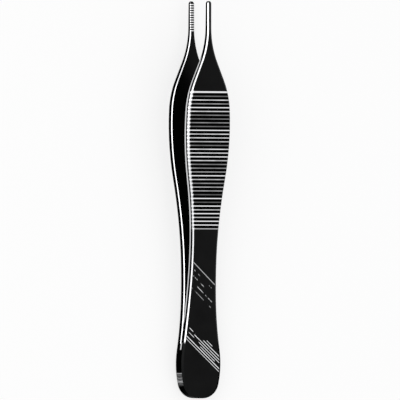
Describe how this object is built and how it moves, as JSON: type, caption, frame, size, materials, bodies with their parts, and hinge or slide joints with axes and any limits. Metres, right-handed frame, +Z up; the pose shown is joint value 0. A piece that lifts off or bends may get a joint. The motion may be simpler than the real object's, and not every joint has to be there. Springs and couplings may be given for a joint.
{
  "type": "thumb forceps",
  "caption": "Slim thumb forceps with broad fluted grips, narrow necks and cross-toothed jaws, two spring blades joined at a round heel, lying on their side.",
  "frame": {"origin": "on the table under the middle of the forceps, halfway along its length and on its centre line", "axes": "+Y along the forceps from heel to jaws, +Z up from the table through both blades, X across the blades"},
  "size_m": [0.0144, 0.1202, 0.0153],
  "materials": {
    "dark_steel": "blackened satin steel with bright polished bevels"
  },
  "bodies": {
    "root": {"lower_blade": "dark_steel", "upper_blade": "dark_steel"}
  },
  "joints": []
}
